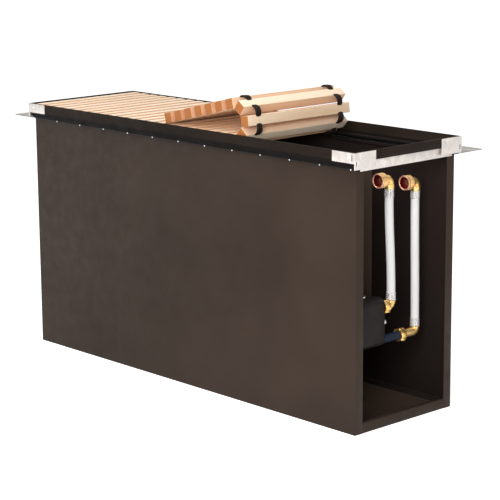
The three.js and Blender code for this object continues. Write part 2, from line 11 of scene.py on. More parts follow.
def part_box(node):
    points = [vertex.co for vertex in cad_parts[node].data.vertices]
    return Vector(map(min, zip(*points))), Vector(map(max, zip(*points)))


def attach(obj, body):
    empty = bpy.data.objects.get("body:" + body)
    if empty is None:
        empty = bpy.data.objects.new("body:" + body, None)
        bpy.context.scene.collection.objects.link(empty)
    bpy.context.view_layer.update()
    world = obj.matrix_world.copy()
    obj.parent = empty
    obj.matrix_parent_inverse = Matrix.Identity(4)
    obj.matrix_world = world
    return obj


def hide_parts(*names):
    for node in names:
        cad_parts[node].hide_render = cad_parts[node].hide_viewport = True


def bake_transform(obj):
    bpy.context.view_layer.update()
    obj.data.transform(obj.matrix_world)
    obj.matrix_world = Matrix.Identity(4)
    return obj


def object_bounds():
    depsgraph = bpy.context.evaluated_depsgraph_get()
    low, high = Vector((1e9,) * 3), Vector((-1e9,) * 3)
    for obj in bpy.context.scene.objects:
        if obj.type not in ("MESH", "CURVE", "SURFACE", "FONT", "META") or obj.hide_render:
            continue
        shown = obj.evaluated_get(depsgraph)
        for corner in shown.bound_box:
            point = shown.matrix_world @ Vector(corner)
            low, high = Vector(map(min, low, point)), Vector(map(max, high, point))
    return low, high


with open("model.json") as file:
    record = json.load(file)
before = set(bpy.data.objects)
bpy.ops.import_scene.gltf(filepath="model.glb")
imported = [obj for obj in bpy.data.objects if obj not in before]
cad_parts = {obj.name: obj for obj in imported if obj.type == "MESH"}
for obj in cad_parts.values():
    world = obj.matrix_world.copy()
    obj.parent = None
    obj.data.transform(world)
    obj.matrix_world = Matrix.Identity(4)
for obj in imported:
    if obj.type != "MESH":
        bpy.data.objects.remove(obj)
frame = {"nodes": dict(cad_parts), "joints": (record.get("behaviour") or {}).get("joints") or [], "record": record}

cad_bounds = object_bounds()
MM = 0.001


# ---------- Camera at the photograph's viewing angle ----------
CAMERA_PLACE = Vector((2.5319, -2.3033, 0.9830))
CAMERA_TURN, CAMERA_DIP, CAMERA_ROLL = 47.1135, 12.2314, -0.4211  # degrees: heading, down, roll
CAMERA_LENS, CAMERA_SENSOR = 130.99, 36.0  # mm


def add_camera():
    turn, dip, roll = (math.radians(v) for v in (CAMERA_TURN, CAMERA_DIP, CAMERA_ROLL))
    ahead = Vector((
        -math.sin(turn) * math.cos(dip), math.cos(turn) * math.cos(dip), -math.sin(dip)))
    side = Vector((math.cos(turn), math.sin(turn), 0))
    above = side.cross(ahead)
    right = side * math.cos(roll) + above * math.sin(roll)
    up = above * math.cos(roll) - side * math.sin(roll)
    data = bpy.data.cameras.new("camera")
    data.lens, data.sensor_width = CAMERA_LENS, CAMERA_SENSOR
    data.clip_end = 50
    camera = bpy.data.objects.new("camera", data)
    bpy.context.scene.collection.objects.link(camera)
    camera.matrix_world = Matrix.Translation(CAMERA_PLACE) @ Matrix(
        (right, up, -ahead)).transposed().to_4x4()
    bpy.context.scene.camera = camera


# ---------- Places read from the solids ----------
def middle(node):
    low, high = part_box(node)
    return (low + high) / 2


riser_x = middle("flow_lower_ferrule").x
SIDES = {"near": -1, "far": 1}
HEADING = math.radians(48.4569)  # turn of the grille at each of its four hinges
SLAT = Vector((19, 259, 20)) * MM
PITCH = 29 * MM
GAP = PITCH - SLAT.x
SLAT_EDGE = 1.3 * MM  # rounding of a slat's edges
SHADED, LIT = 0.65, 0.3  # painted shade: share of the darker orange painted on slat sides, between slats (SHADED) and on the lit curl (LIT)
cord_y = abs(middle("near_spacer_2").y)
flat_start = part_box("flat_slats")[0].x


def hinge_place(name):
    """A hinge's place in the x-z plane."""
    joint = next(j for j in frame["joints"] if j["name"] == name)
    return Vector((joint["pos_m"][0], 0, joint["pos_m"][2]))


RAIL_LEG = 17 * MM  # height of the rail's outer leg; the profile below it is painted near black, as painted shade
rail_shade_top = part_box("near_rail")[1].z - RAIL_LEG
hinges = [hinge_place(f"unroll_{k}") for k in (1, 2, 3, 4)]
wall_inner = abs(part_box("near_rail")[1].y)
rail_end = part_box("near_rail")[1].x


# ---------- Materials ----------
def linear(r, g, b):
    """A colour given as 0 to 255 on screen, as the shader wants it."""
    def one(v):
        v /= 255
        return v / 12.92 if v <= 0.04045 else ((v + 0.055) / 1.055) ** 2.4
    return (one(r), one(g), one(b), 1)


class Finish:
    """A node material, put together from a few textures."""

    def __init__(self, name, metallic=0.0, roughness=0.5, **sockets):
        self.material = bpy.data.materials.new(name)
        self.material.use_nodes = True
        self.nodes = self.material.node_tree.nodes
        self.links = self.material.node_tree.links
        self.shader = self.nodes["Principled BSDF"]
        self.shader.inputs["Metallic"].default_value = metallic
        self.shader.inputs["Roughness"].default_value = roughness
        for socket, value in sockets.items():
            self.shader.inputs[socket.replace("_", " ")].default_value = value
        self.place = self.add("ShaderNodeTexCoord").outputs["Object"]

    def add(self, kind, **values):
        node = self.nodes.new(kind)
        for key, value in values.items():
            if key in node.inputs:
                node.inputs[key].default_value = value
            else:
                setattr(node, key, value)
        return node

    def stretched(self, scale, source=None):
        mapping = self.add("ShaderNodeMapping")
        mapping.inputs["Scale"].default_value = scale
        self.links.new(source or self.place, mapping.inputs["Vector"])
        return mapping.outputs["Vector"]

    def noise(self, scale=(1, 1, 1), size=100.0, detail=4.0, rough=0.55, source=None):
        node = self.add("ShaderNodeTexNoise", Scale=size, Detail=detail, Roughness=rough)
        self.links.new(self.stretched(scale, source), node.inputs["Vector"])
        return node.outputs["Fac"]

    def cells(self, size, output, spread=1.0):
        node = self.add("ShaderNodeTexVoronoi", Scale=size, Randomness=spread)
        self.links.new(self.place, node.inputs["Vector"])
        return node.outputs[output]

    def axes(self, vector):
        """The three parts of a vector."""
        node = self.add("ShaderNodeSeparateXYZ")
        self.links.new(vector, node.inputs[0])
        return node.outputs

    def vector(self, operation, first, second):
        node = self.add("ShaderNodeVectorMath", operation=operation)
        self.links.new(first, node.inputs[0])
        if isinstance(second, tuple):
            node.inputs[1].default_value = second
        else:
            self.links.new(second, node.inputs[1])
        return node.outputs["Value" if operation == "DOT_PRODUCT" else "Vector"]

    def ramp(self, factor, *stops):
        node = self.add("ShaderNodeValToRGB")
        while len(node.color_ramp.elements) < len(stops):
            node.color_ramp.elements.new(0.5)
        for element, (place, colour) in zip(node.color_ramp.elements, stops):
            element.position, element.color = place, colour
        self.links.new(factor, node.inputs["Fac"])
        return node.outputs["Color"]

    def range(self, factor, low, high, start=0.3, end=0.7):
        node = self.add("ShaderNodeMapRange")
        node.inputs["From Min"].default_value, node.inputs["From Max"].default_value = start, end
        node.inputs["To Min"].default_value, node.inputs["To Max"].default_value = low, high
        self.links.new(factor, node.inputs["Value"])
        return node.outputs["Result"]

    def math(self, operation, first, second):
        node = self.add("ShaderNodeMath", operation=operation)
        for value, socket in ((first, node.inputs[0]), (second, node.inputs[1])):
            if isinstance(value, (int, float)):
                socket.default_value = value
            else:
                self.links.new(value, socket)
        return node.outputs["Value"]

    def mix(self, factor, first, second):
        node = self.add("ShaderNodeMix", data_type="RGBA")
        sockets = node.inputs[0], node.inputs[6], node.inputs[7]
        for value, socket in zip((factor, first, second), sockets):
            if isinstance(value, (int, float, tuple)):
                socket.default_value = value
            else:
                self.links.new(value, socket)
        return node.outputs[2]

    def colour(self, source):
        self.links.new(source, self.shader.inputs["Base Color"])
        return self

    def gloss(self, source):
        self.links.new(source, self.shader.inputs["Roughness"])
        return self

    def bump(self, height, depth=0.0002, strength=0.6):
        node = self.add("ShaderNodeBump", Strength=strength, Distance=depth)
        self.links.new(height, node.inputs["Height"])
        self.links.new(node.outputs["Normal"], self.shader.inputs["Normal"])
        return self


def lacquer(name, dark, light, roughness, shade_below=None, lining=None):
    """Fine textured lacquer with a slow change of tone and lighter rub marks, with painted shade, if asked, on
    faces turned to the middle of the trench and below a given height.
    """
    f = Finish(name, 0.0, roughness, Specular_IOR_Level=0.1)
    slow = f.noise(size=5, detail=2)
    rub = f.noise((1, 1, 6), 60, 6, 0.7)
    base = f.ramp(slow, (0.3, linear(*dark)), (0.7, linear(*light)))
    rubbed = linear(*(min(255, c + 22) for c in light))
    base = f.mix(f.range(rub, 0, 0.16, 0.6, 0.8), base, rubbed)
    if lining is not None:  # painted shade: faces turned to the middle of the trench are painted darker, for the shade inside the trench
        level = f.vector("MULTIPLY", f.place, (1, 1, 0))
        normal = f.add("ShaderNodeNewGeometry").outputs["Normal"]
        outwards = f.vector("DOT_PRODUCT", level, normal)
        base = f.mix(f.range(outwards, 1, 0, -0.03, -0.01), base, linear(*lining))
    if shade_below is not None:  # painted shade: below this height the profile is painted near black, for the shade under the rail's outer leg
        below = f.range(f.axes(f.place)["Z"], 1, 0, shade_below - 0.1 * MM, shade_below)
        base = f.mix(below, base, linear(20, 16, 14))
    f.colour(base)
    f.gloss(f.range(f.noise(size=40), roughness - 0.08, roughness + 0.12))
    return f.bump(f.noise(size=1500, detail=2), 0.00005, 0.35).material


def galvanised():
    """Zinc coat: pale crystals of slightly different tone and gloss, with fine rolling lines."""
    f = Finish("galvanised", 0.55, 0.36)
    tone = f.range(f.cells(90, "Color"), 0, 1, 0.1, 0.9)
    lines = f.noise((1, 30, 30), 14, 3)
    crystals = f.ramp(tone, (0, linear(214, 206, 199)), (1, linear(240, 233, 227)))
    f.colour(f.mix(f.range(lines, 0, 0.35), crystals, linear(196, 188, 181)))
    f.gloss(f.range(tone, 0.28, 0.46, 0, 1))
    return f.bump(f.noise(size=500, detail=3), 0.00004, 0.3).material


def flange_zinc():
    """Dull zinc, dark inside the trench, where the ledge shades it."""
    f = Finish("flange_zinc", 0.4, 0.5)
    tone = f.ramp(f.noise(size=45, detail=3),
                  (0.3, linear(146, 140, 135)), (0.7, linear(190, 186, 182)))
    place = f.axes(f.place)
    inside = f.math("MULTIPLY", *(
        f.range(f.math("ABSOLUTE", place[axis], 0), 1, 0, reach, reach + 0.5 * MM)
        for axis, reach in (("X", rail_end), ("Y", wall_inner))))
    f.colour(f.mix(inside, tone, linear(26, 20, 17)))
    f.gloss(f.range(f.noise(size=200), 0.42, 0.62))
    return f.bump(f.noise(size=500, detail=3), 0.00004, 0.3).material


def brushed(name, dark, light, roughness, along, metallic=0.95):
    """Bare metal with fine lines along one direction and slightly dulled patches."""
    f = Finish(name, metallic, roughness)
    lines = f.noise(along, 500, 4, 0.7)
    patches = f.noise(size=60, detail=4)
    f.colour(f.ramp(f.math("ADD", f.math("MULTIPLY", lines, 0.5), f.math("MULTIPLY", patches, 0.5)),
                    (0.35, linear(*dark)), (0.65, linear(*light))))
    f.gloss(f.range(patches, roughness - 0.06, roughness + 0.14))
    return f.bump(lines, 0.00003, 0.4).material


def crimped_steel():
    """Bright sleeve with rows of small dark dimples from the crimping tool."""
    f = Finish("crimped_steel", 0.3, 0.36)
    lines = f.noise((1, 1, 0.3), 500, 4, 0.7)
    dimple = f.range(f.cells(330, "Distance", 0.35), 1, 0, 0.22, 0.4)
    steel = f.ramp(lines, (0.3, linear(214, 212, 210)), (0.7, linear(248, 247, 246)))
    f.colour(f.mix(dimple, steel, linear(92, 84, 78)))
    f.gloss(f.range(lines, 0.3, 0.46))
    return f.bump(f.math("MULTIPLY", dimple, -1), 0.0003, 0.6).material


def timber():
    """Oiled hardwood: grain and pores along Y, rings on the ends, each slat with its own tone, and sides painted
    darker orange as painted shade between slats.
    """
    f = Finish("timber", 0, 0.5)
    tone = f.add("ShaderNodeAttribute", attribute_name="tone").outputs["Fac"]
    shift = f.add("ShaderNodeCombineXYZ")
    for socket in shift.inputs:
        f.links.new(f.math("MULTIPLY", tone, 7.3), socket)
    source = f.vector("ADD", f.place, shift.outputs[0])
    warp = f.noise((1, 0.12, 1), 30, 3, 0.5, source)
    fibres = f.noise((1, 0.02, 1), 420, 5, 0.65, source)
    pores = f.noise((1, 0.035, 1), 1100, 2, 0.5, source)
    grain = f.math("ADD", f.math("MULTIPLY", warp, 0.55), f.math("MULTIPLY", fibres, 0.45))
    face = f.ramp(grain, (0.34, linear(240, 206, 168)), (0.5, linear(252, 229, 200)),
                  (0.66, linear(254, 240, 219)))
    face = f.mix(f.range(pores, 0.0, 0.25, 0.58, 0.72), face, linear(196, 132, 84))
    face = f.mix(f.range(tone, 0, 0.22, 0, 1), face, linear(234, 180, 130))
    # painted shade: slat sides take the darker orange by the share in their side attribute
    side = f.add("ShaderNodeAttribute", attribute_name="side").outputs["Fac"]
    sides = f.ramp(grain, (0.35, linear(186, 106, 50)), (0.65, linear(226, 150, 92)))
    face = f.mix(side, face, sides)
    rings = f.add("ShaderNodeTexWave", wave_type="RINGS", rings_direction="Y",
                  Scale=120, Distortion=3, Detail=3)
    f.links.new(f.stretched((1, 0.1, 1.3), source), rings.inputs["Vector"])
    ends = f.ramp(rings.outputs["Fac"], (0.1, linear(134, 72, 26)), (0.9, linear(210, 132, 62)))
    facing = f.axes(f.add("ShaderNodeNewGeometry").outputs["Normal"])
    is_end = f.range(f.math("ABSOLUTE", facing["Y"], 0), 0, 1, 0.6, 0.85)
    f.colour(f.mix(is_end, face, ends))
    f.gloss(f.range(fibres, 0.42, 0.62))
    relief = f.math("ADD", fibres, f.math("MULTIPLY", pores, -0.7))
    return f.bump(relief, 0.00012, 0.5).material


def rubber():
    f = Finish("black_rubber", 0, 0.62, Specular_IOR_Level=0.15)
    f.colour(f.ramp(f.noise(size=120), (0.3, linear(18, 11, 9)), (0.7, linear(36, 24, 19))))
    f.gloss(f.range(f.noise(size=300), 0.5, 0.78))
    return f.bump(f.noise(size=1800, detail=2), 0.00006, 0.5).material


def braid():
    """White sleeve of crossing strands, from two slanting waves."""
    f = Finish("white_braid", 0.0, 0.42)
    place = f.axes(f.place)
    across = f.math("ADD", place["X"], place["Y"])
    strands = []
    for slant in (1, -1):
        phase = f.math("ADD", place["Z"], f.math("MULTIPLY", across, slant))
        strands.append(f.math("SINE", f.math("MULTIPLY", phase, 2200), 0))
    weave = f.math("MULTIPLY", strands[0], strands[1])
    white = f.ramp(weave, (0.0, linear(238, 237, 236)), (0.45, linear(255, 255, 254)))
    f.colour(f.mix(f.range(f.noise(size=160), 0, 0.3), white, linear(246, 244, 242)))
    f.gloss(f.range(weave, 0.34, 0.55, -1, 1))
    return f.bump(weave, 0.00025, 0.6).material


def washer_fibre():
    f = Finish("red_fibre", 0, 0.7)
    f.colour(f.ramp(f.noise(size=400), (0.3, linear(84, 10, 10)), (0.7, linear(120, 22, 18))))
    return f.bump(f.noise(size=900), 0.00008, 0.5).material


# Painted shadow: near black, for the dark inside of the bracket slots.
def painted_slot_shadow():
    f = Finish("shadow_gap", 0, 0.8)
    f.colour(f.ramp(f.noise(size=200), (0.3, linear(12, 10, 9)), (0.7, linear(26, 22, 20))))
    return f.bump(f.noise(size=800), 0.00005, 0.4).material


finishes = {
    # painted shade: lining is the darker colour painted on the casing's inner faces, for the shade inside the
    # trench
    "casing": lacquer("casing_lacquer", (56, 45, 38), (65, 53, 45), 0.5, lining=(43, 35, 32)),
    # painted shade: the rail's profile under its outer leg is painted near black
    "rail": lacquer("rail_lacquer", (27, 20, 15), (40, 31, 25), 0.58, rail_shade_top),
    "collector": lacquer("collector_lacquer", (28, 24, 22), (38, 33, 30), 0.42),
    "stub": lacquer("stub_lacquer", (26, 30, 42), (40, 47, 64), 0.45),
    "galvanised": galvanised(),
    "fin": brushed("fin_aluminium", (168, 170, 172), (214, 216, 217), 0.34, (1, 0.05, 1)),
    "copper": brushed("copper", (158, 84, 52), (206, 126, 84), 0.3, (0.05, 1, 1)),
    "chrome": brushed("chrome", (196, 198, 200), (232, 233, 235), 0.14, (1, 1, 0.1)),
    "brass": brushed("brass", (214, 160, 80), (252, 218, 146), 0.24, (1, 0.1, 1), 0.85),
    "ferrule": crimped_steel(),
    "wood": timber(),
    "rubber": rubber(),
    "hose": braid(),
    "washer": washer_fibre(),
}
dull_flange = flange_zinc()
nut_brass = brushed("union_nut_brass", (216, 158, 96), (250, 212, 152), 0.28, (1, 0.1, 1), 0.8)
copper_rim = brushed("union_nut_rim", (226, 150, 118), (252, 200, 172), 0.32, (1, 0.1, 1), 0.5)
red_lining = lacquer("red_lining", (84, 8, 8), (116, 18, 16), 0.5)
slot_shadow = painted_slot_shadow()


# ---------- Mesh helpers ----------
def piece(name, bm, body, slot, stands_for=(), smooth=True, material=None):
    """Makes an object of the mesh; its finish is the slot's, unless another material is given."""
    bmesh.ops.recalc_face_normals(bm, faces=bm.faces[:])
    mesh = bpy.data.meshes.new(name)
    bm.to_mesh(mesh)
    bm.free()
    if smooth:
        mesh.shade_smooth()
        mesh.set_sharp_from_angle(angle=math.radians(38))
    obj = bpy.data.objects.new(name, mesh)
    bpy.context.scene.collection.objects.link(obj)
    mesh.materials.append(material or finishes[slot])
    if body:
        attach(obj, body)
    if stands_for:
        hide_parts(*stands_for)
    return obj


def join_rings(bm, rings):
    """Faces between each ring of vertices and the next."""
    for a, b in zip(rings, rings[1:]):
        for k in range(len(a)):
            n = (k + 1) % len(a)
            bm.faces.new((a[k], a[n], b[n], b[k]))


def skin(bm, rings):
    """Joins rings of points with faces, and closes the two ends."""
    made = [[bm.verts.new(p) for p in ring] for ring in rings]
    join_rings(bm, made)
    bm.faces.new(made[0][::-1])
    bm.faces.new(made[-1])
    return bm


def tube_rings(points, radii, sides=28, across=Vector((1, 0, 0)), half_width=None):
    """Rings round a path that lies square to `across`, as wide along it as half_width says."""
    rings = []
    for k, (point, radius) in enumerate(zip(points, radii)):
        ahead = (points[min(k + 1, len(points) - 1)] - points[max(k - 1, 0)]).normalized()
        out = ahead.cross(across).normalized()
        rings.append([
            point + across * ((half_width or radius) * math.cos(a)) + out * (radius * math.sin(a))
            for a in (2 * math.pi * j / sides for j in range(sides))])
    return rings


def lathe(bm, origin, axis, profile, sides=40, shape=None):
    """Turns a profile of (radius, distance along the axis); a closed profile makes a ring."""
    axis = Vector(axis).normalized()
    u = axis.orthogonal().normalized()
    v = axis.cross(u)
    rings = []
    for radius, along in profile:
        ring = []
        for j in range(sides):
            a = 2 * math.pi * j / sides
            r = shape(a, radius) if shape else radius
            ring.append(Vector(origin) + axis * along + (u * math.cos(a) + v * math.sin(a)) * r)
        rings.append(ring)
    if profile[0] != profile[-1]:
        return skin(bm, rings)
    made = [[bm.verts.new(p) for p in ring] for ring in rings[:-1]]
    join_rings(bm, made + made[:1])
    return bm


def block(bm, size, edge, turn):
    """A box with rounded edges, put in its place by turn; returns its vertices."""
    made = bmesh.ops.create_cube(
        bm, size=1, matrix=Matrix.LocRotScale(Vector(), None, size))["verts"]
    edges = list({e for v in made for e in v.link_edges})
    result = bmesh.ops.bevel(
        bm, geom=edges, offset=edge, segments=3, profile=0.6, affect="EDGES")
    verts = list({v for f in result["faces"] for v in f.verts} | {v for v in made if v.is_valid})
    bmesh.ops.transform(bm, matrix=turn, verts=verts)
    return verts


def carve(obj, cutter_bm):
    """Takes a shape out of a piece, for good."""
    bmesh.ops.recalc_face_normals(cutter_bm, faces=cutter_bm.faces[:])
    mesh = bpy.data.meshes.new("cutter")
    cutter_bm.to_mesh(mesh)
    cutter_bm.free()
    cutter = bpy.data.objects.new("cutter", mesh)
    bpy.context.scene.collection.objects.link(cutter)
    modifier = obj.modifiers.new("cut", "BOOLEAN")
    modifier.object, modifier.solver = cutter, "EXACT"
    graph = bpy.context.evaluated_depsgraph_get()
    result = bpy.data.meshes.new_from_object(obj.evaluated_get(graph))
    obj.modifiers.clear()
    obj.data = result
    bpy.data.objects.remove(cutter)


# ---------- Grille ----------
chance = random.Random(7)
FOLDED_COUNT = 7  # slats of the folded run
SLEEVE_LAP = 0.4 * MM  # how far a sleeve reaches into the slat at each end
# radius in mm, and the share of the sleeve's length at which it has that radius
SLEEVE = [(3.6, 0), (4.3, 0.12), (4.4, 0.35), (3.9, 0.5), (4.4, 0.65), (4.3, 0.88), (3.6, 1)]
BAND_STEPS = 12
BAND_TIP, BAND_BELLY = 0.9 * MM, 2.6 * MM  # half thickness at the ends, and what the middle adds
BAND_REACH, BAND_LIFT, BAND_PEAK = 0.85 * GAP, 9 * MM, 17 * MM
BAND_HALF_WIDTH = 6.5 * MM
BAND_PROUD = 3 * MM  # the most that a band may stand above the solids


def heading_vector(heading):
    return Vector((math.cos(heading), 0, math.sin(heading)))


def outward(vector):
    """Square to a vector in the x-z plane, to the outside of the curl."""
    return Vector((vector.z, 0, -vector.x))


def slat_run(name, body, places, stands_for):
    """Rounded wooden slats.

    Each place is a middle point, a heading in the x-z plane and how much painted shade the sides get."""
    bm = bmesh.new()
    tone_layer = bm.verts.layers.float.new("tone")
    painted_shade_layer = bm.faces.layers.float.new("side")
    for centre, heading, painted_side_shade in places:
        tone = chance.random()
        turn = Matrix.Translation(centre) @ Matrix.Rotation(-heading, 4, "Y")
        verts = block(bm, SLAT, SLAT_EDGE, turn)
        for vert in verts:
            vert[tone_layer] = tone
        for face in {f for v in verts for f in v.link_faces}:
            face.normal_update()
            # painted shade: faces square to the heading, the slat's sides, get their share of darker colour
            if abs(face.normal.dot(heading_vector(heading))) > 0.6:
                face[painted_shade_layer] = painted_side_shade
    return piece(name, bm, body, "wood", stands_for)


def sleeves(name, body, gaps):
    """Ribbed rubber sleeves on both cords, one in each gap of a straight run."""
    bm = bmesh.new()
    length = GAP + 2 * SLEEVE_LAP
    profile = [(radius * MM, length * share) for radius, share in SLEEVE]
    for centre, heading in gaps:
        ahead = heading_vector(heading)
        for y in (-cord_y, cord_y):
            start = centre + Vector((0, y, 0)) - ahead * (GAP / 2 + SLEEVE_LAP)
            lathe(bm, start, ahead, profile, 20)
    return piece(name, bm, body, "rubber")


def build_grille():
    flat_count = round((hinges[0].x - flat_start + GAP / 2) / PITCH)
    # painted shade on slat sides: SHADED in the flat run, LIT on its last slat at the bend
    flat = [(hinges[0] - Vector(((flat_count - k - 0.5) * PITCH, 0, 0)), 0,
             SHADED if k < flat_count - 1 else LIT) for k in range(flat_count)]
    slat_run("flat_wood", "grille", flat, ["flat_slats"])
    sleeves("flat_sleeves", "grille", [(c + Vector((PITCH / 2, 0, 0)), 0) for c, _, _ in flat[:-1]])
    curl_nodes = ["first_curl_slat", "second_curl_slat", "third_curl_slat"]
    for k, node in enumerate(curl_nodes):
        heading = (k + 1) * HEADING
        # the curl slats get the LIT share of painted shade on their sides
        slat_run(f"curl_wood_{k + 1}", f"curl_{k + 1}",
                 [(hinges[k] + heading_vector(heading) * PITCH / 2, heading, LIT)], [node])
    heading = 4 * HEADING
    ahead = heading_vector(heading)
    # painted shade on slat sides: SHADED in the folded run, LIT on its first slat at the bend
    folded = [(hinges[3] + ahead * ((k + 0.5) * PITCH), heading, SHADED if k else LIT)
              for k in range(FOLDED_COUNT)]
    slat_run("folded_wood", "folded_grille", folded, ["ramp_slats"])
    sleeves("folded_sleeves", "folded_grille",
            [(c + ahead * PITCH / 2, heading) for c, _, _ in folded[:-1]])
    build_bands()


def build_bands():
    """The sleeves at the four bent gaps bulge outwards and bend round the hinge."""
    top = cad_bounds[1][2] + BAND_PROUD
    shares = [j / BAND_STEPS for j in range(BAND_STEPS + 1)]
    radii = [BAND_TIP + BAND_BELLY * math.sin(math.pi * t) for t in shares]
    for k, place in enumerate(hinges):
        before, after = heading_vector(k * HEADING), heading_vector((k + 1) * HEADING)
        along = (before + after).normalized()
        for side, sign in SIDES.items():
            centre = place + Vector((0, sign * cord_y, 0))
            a = centre - before * BAND_REACH + outward(before) * BAND_LIFT
            b = centre + after * BAND_REACH + outward(after) * BAND_LIFT
            peak = centre + outward(along) * BAND_PEAK
            points = [a * (1 - t) ** 2 + peak * (2 * t * (1 - t)) + b * t ** 2 for t in shares]
            rings = tube_rings(points, radii, 24, Vector((0, 1, 0)), BAND_HALF_WIDTH)
            bm = skin(bmesh.new(), rings)
            for vert in bm.verts:
                vert.co.z = min(vert.co.z, top)
            band = piece(f"{side}_band_{k + 1}", bm, None, "rubber")
            if k in (1, 2):
                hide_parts(f"{side}_spacer_{k + 1}")
            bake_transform(band)


# ---------- Heat exchanger ----------
FIN_STEP, FIN_HALF_THICKNESS = 6 * MM, 0.2 * MM
FIN_WAVE, FIN_FOLDS = 0.4 * MM, 10


def corrugated_fin(bm, x, low, high):
    """A thin upright sheet, lightly corrugated down its height."""
    rows = [(x + FIN_WAVE * (j % 2), low.z + (high.z - low.z) * j / FIN_FOLDS)
            for j in range(FIN_FOLDS + 1)]
    back_near, back_far, front_near, front_far = (
        [bm.verts.new((row_x + side * FIN_HALF_THICKNESS, y, z)) for row_x, z in rows]
        for side in (-1, 1) for y in (low.y, high.y))
    for a, b in ((back_near, back_far), (front_far, front_near),
                 (front_near, back_near), (back_far, front_far)):
        for j in range(FIN_FOLDS):
            bm.faces.new((a[j], b[j], b[j + 1], a[j + 1]))
    bm.faces.new((back_near[0], front_near[0], front_far[0], back_far[0]))
    bm.faces.new((back_far[-1], front_far[-1], front_near[-1], back_near[-1]))


def build_exchanger():
    low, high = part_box("fin_pack")
    count = round((high.x - low.x) / FIN_STEP) + 1
    margin = 0.25 * MM
    bm = bmesh.new()
    for k in range(count):
        across = high.x - low.x - 2 * margin
        corrugated_fin(bm, low.x + margin + across * k / (count - 1), low, high)
    piece("fins", bm, "casing", "fin", ["fin_pack"], smooth=False)
    for node in ("upper_exchanger_tube", "lower_exchanger_tube"):
        low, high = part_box(node)
        centre, length = (low + high) / 2, high.x - low.x
        radius, edge = (high.z - low.z) / 2, 1.2 * MM
        bm = lathe(bmesh.new(), (low.x, centre.y, centre.z), (1, 0, 0), [
            (radius * 0.94, 0), (radius, edge), (radius, length - edge),
            (radius * 0.94, length)], 36)
        piece(node.replace("exchanger_tube", "tube"), bm, "casing", "copper", [node])
    low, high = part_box("return_bend")
    radius = (high.y - low.y) / 2 - 0.02 * MM
    bend = (high.z - low.z) / 2 - radius
    lead = high.x - low.x - bend - radius
    centre = Vector((high.x - lead, (low.y + high.y) / 2, (low.z + high.z) / 2))
    points = [centre + Vector((lead, 0, bend))]
    points += [centre + Vector((-bend * math.sin(a), 0, bend * math.cos(a)))
               for a in (math.pi * j / 20 for j in range(21))]
    points.append(centre + Vector((lead, 0, -bend)))
    rings = tube_rings(points, [radius] * len(points), 28, Vector((0, 1, 0)))
    piece("bend", skin(bmesh.new(), rings), "casing", "copper", ["return_bend"])


# ---------- Risers ----------
def elbow_rings(tail_y, axis_z, riser_y, arm_z, radius, corner, collar=0.0):
    """A tail along Y, a round corner and an arm along Z, with a bead at the arm's end.

    A collar is the radius of a rim at the tail's end."""
    toward = 1 if arm_z > axis_z else -1
    side = 1 if tail_y > riser_y else -1
    points, radii = [Vector((riser_x, tail_y, axis_z))], [collar or radius * 0.96]
    if collar:
        for step, r in ((1.9, collar), (2.1, radius)):
            points.append(Vector((riser_x, tail_y - side * step * MM, axis_z)))
            radii.append(r)
    centre = Vector((riser_x, riser_y + side * corner, axis_z + toward * corner))
    for j in range(11):
        a = math.pi / 2 * j / 10
        points.append(centre - Vector((
            0, side * corner * math.sin(a), toward * corner * math.cos(a))))
        radii.append(radius)
    reach = abs(arm_z - axis_z) - corner
    for share, r in ((0.05, 1.0), (0.15, 1.14), (0.85, 1.14), (1.0, 1.08)):
        points.append(Vector((riser_x, riser_y, axis_z + toward * (corner + reach * share))))
        radii.append(radius * r)
    return tube_rings(points, radii, 32)


def hex_shape(flat):
    """Radius of a hexagon of that half width across flats, but no more than a turned corner."""
    def at(angle, radius):
        a = (angle + math.pi / 6) % (math.pi / 3) - math.pi / 6
        return min(radius, flat / math.cos(a))
    return at


def build_risers():
    for name in ("flow", "return"):
        build_riser(name)
    for node in ("upper_port_nut", "lower_port_nut"):
        build_port_nut(node)
    build_stub()


def build_port_nut(node):
    low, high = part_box(node)
    centre, length = (low + high) / 2, high.y - low.y
    corner, bore, chamfer = (high.z - low.z) / 2, 8.3 * MM, 1.2 * MM
    flat = corner * math.cos(math.pi / 6)
    outside = hex_shape(flat)
    bm = lathe(bmesh.new(), (centre.x, low.y, centre.z), (0, 1, 0), [
        (bore, 0), (flat, 0), (corner, chamfer), (corner, length - chamfer), (flat, length),
        (bore, length), (bore, 0)], 60, lambda a, r: outside(a, r) if r > bore * 1.01 else r)
    piece(node.replace("_port_", "_hex_"), bm, "casing", "brass", [node])


def build_stub():
    """A short ribbed pipe; a narrow groove parts each two ribs."""
    low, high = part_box("return_stub")
    centre, length, radius = (low + high) / 2, high.y - low.y, (high.z - low.z) / 2
    ribs, half_groove, edge = 8, 0.7 * MM, 0.8 * MM
    profile = [(radius * 0.95, 0), (radius, edge)]
    for k in range(1, ribs):
        groove = length * k / ribs
        profile += [(radius, groove - half_groove), (radius * 0.93, groove),
                    (radius, groove + half_groove)]
    profile += [(radius, length - edge), (radius * 0.95, length)]
    bm = lathe(bmesh.new(), (centre.x, low.y, centre.z), (0, 1, 0), profile, 36)
    piece("stub", bm, "casing", "stub", ["return_stub"])


HOSE_RADIUS = 7.7 * MM
HOSE_STEPS = 24
UNION_BORE, UNION_NECK = 10.6 * MM, 7.8 * MM
KNURLS = 24


def hose_route(name, foot, head):
    """A slow S between the ferrules, which leaves both straight along Z."""
    low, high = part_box(f"{name}_hose")
    bottom, top = low.z + 0.05 * MM, high.z - 0.05 * MM
    return [Vector((riser_x, foot.y + (head.y - foot.y) * t * t * (3 - 2 * t),
                    bottom + (top - bottom) * t))
            for t in (k / HOSE_STEPS for k in range(HOSE_STEPS + 1))]


